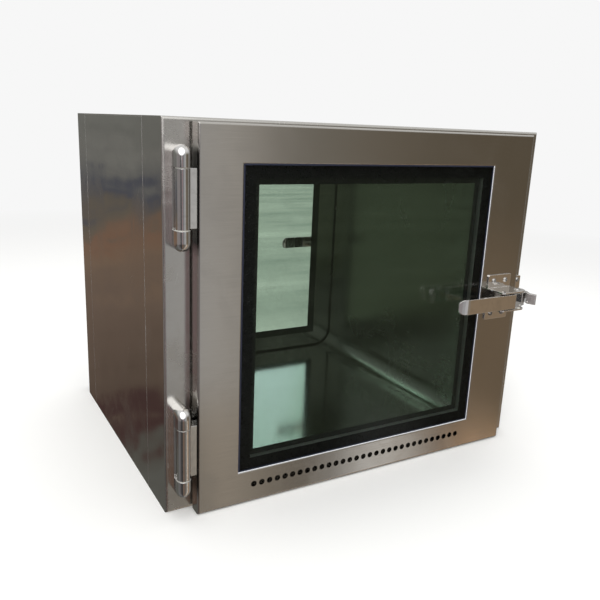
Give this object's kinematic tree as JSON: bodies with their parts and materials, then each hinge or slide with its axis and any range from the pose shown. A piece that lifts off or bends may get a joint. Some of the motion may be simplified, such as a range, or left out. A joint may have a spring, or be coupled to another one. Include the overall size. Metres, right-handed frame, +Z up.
{
  "type": "cleanroom pass box",
  "caption": "Stainless cleanroom pass box: a coved chamber right through a wall cabinet, closed at each end by a double-glazed hinged door with a cam lever latch.",
  "frame": {"origin": "centre of the cabinet's base, on the surface that it stands on", "axes": "+X from the hinge side to the latch side, -Y out of the front door, +Y out of the rear door, +Z up"},
  "size_m": [0.68, 0.644, 0.565],
  "materials": {
    "brushed_sheet": "satin brushed stainless sheet, folded and welded",
    "chamber_sheet": "bright brushed stainless sheet",
    "glass": "clear toughened glass with a green tint",
    "spacer": "mill-finish aluminium section",
    "glazing_black": "black glazing sealant, smooth",
    "door_rubber": "matt black rubber",
    "polished_steel": "polished stainless steel",
    "fastener": "turned stainless steel",
    "washer_plastic": "natural nylon"
  },
  "bodies": {
    "cabinet": {"left_side_panel": "brushed_sheet", "right_side_panel": "brushed_sheet", "top_panel": "brushed_sheet", "base_panel": "brushed_sheet", "front_frame": "brushed_sheet", "rear_frame": "brushed_sheet", "chamber_liner": "chamber_sheet", "floor_stiffeners": "chamber_sheet", "front_upper_hinge_bracket": "polished_steel", "front_lower_hinge_bracket": "polished_steel", "front_upper_hinge_pin": "fastener", "front_lower_hinge_pin": "fastener", "front_hinge_washers": "washer_plastic", "front_bracket_screws": "fastener", "front_strike": "polished_steel", "front_strike_screws": "fastener", "rear_upper_hinge_bracket": "polished_steel", "rear_lower_hinge_bracket": "polished_steel", "rear_upper_hinge_pin": "fastener", "rear_lower_hinge_pin": "fastener", "rear_hinge_washers": "washer_plastic", "rear_bracket_screws": "fastener", "rear_strike": "polished_steel", "rear_strike_screws": "fastener"},
    "front_door": {"front_door_skin": "brushed_sheet", "front_door_backing": "brushed_sheet", "front_outer_pane": "glass", "front_inner_pane": "glass", "front_pane_spacer": "spacer", "front_edge_seal": "glazing_black", "front_glazing_bead": "glazing_black", "front_door_seal": "door_rubber", "front_upper_hinge_leaf": "polished_steel", "front_lower_hinge_leaf": "polished_steel", "front_leaf_screws": "fastener", "front_latch_upper_bracket": "polished_steel", "front_latch_lower_bracket": "polished_steel", "front_latch_screws": "fastener", "front_latch_anchors": "brushed_sheet", "front_latch_pin": "fastener", "front_latch_washers": "washer_plastic"},
    "front_latch_lever": {"front_lever": "polished_steel"},
    "rear_door": {"rear_door_skin": "brushed_sheet", "rear_door_backing": "brushed_sheet", "rear_outer_pane": "glass", "rear_inner_pane": "glass", "rear_pane_spacer": "spacer", "rear_edge_seal": "glazing_black", "rear_glazing_bead": "glazing_black", "rear_door_seal": "door_rubber", "rear_upper_hinge_leaf": "polished_steel", "rear_lower_hinge_leaf": "polished_steel", "rear_leaf_screws": "fastener", "rear_latch_upper_bracket": "polished_steel", "rear_latch_lower_bracket": "polished_steel", "rear_latch_screws": "fastener", "rear_latch_anchors": "brushed_sheet", "rear_latch_pin": "fastener", "rear_latch_washers": "washer_plastic"},
    "rear_latch_lever": {"rear_lever": "polished_steel"}
  },
  "joints": [
    {"name": "front_door_swing", "type": "hinge", "parent": "cabinet", "child": "front_door", "pos_m": [-0.321, -0.2753, 0.2825], "axis": [0, 0, 1], "range_deg": [-160, 0]},
    {"name": "front_lever_turn", "type": "hinge", "parent": "front_door", "child": "front_latch_lever", "pos_m": [0.278, -0.3033, 0.2825], "axis": [0, 0, 1], "range_deg": [0, 90]},
    {"name": "rear_door_swing", "type": "hinge", "parent": "cabinet", "child": "rear_door", "pos_m": [-0.321, 0.2753, 0.2825], "axis": [0, 0, 1], "range_deg": [0, 160]},
    {"name": "rear_lever_turn", "type": "hinge", "parent": "rear_door", "child": "rear_latch_lever", "pos_m": [0.278, 0.3033, 0.2825], "axis": [0, 0, 1], "range_deg": [-90, 0]}
  ]
}
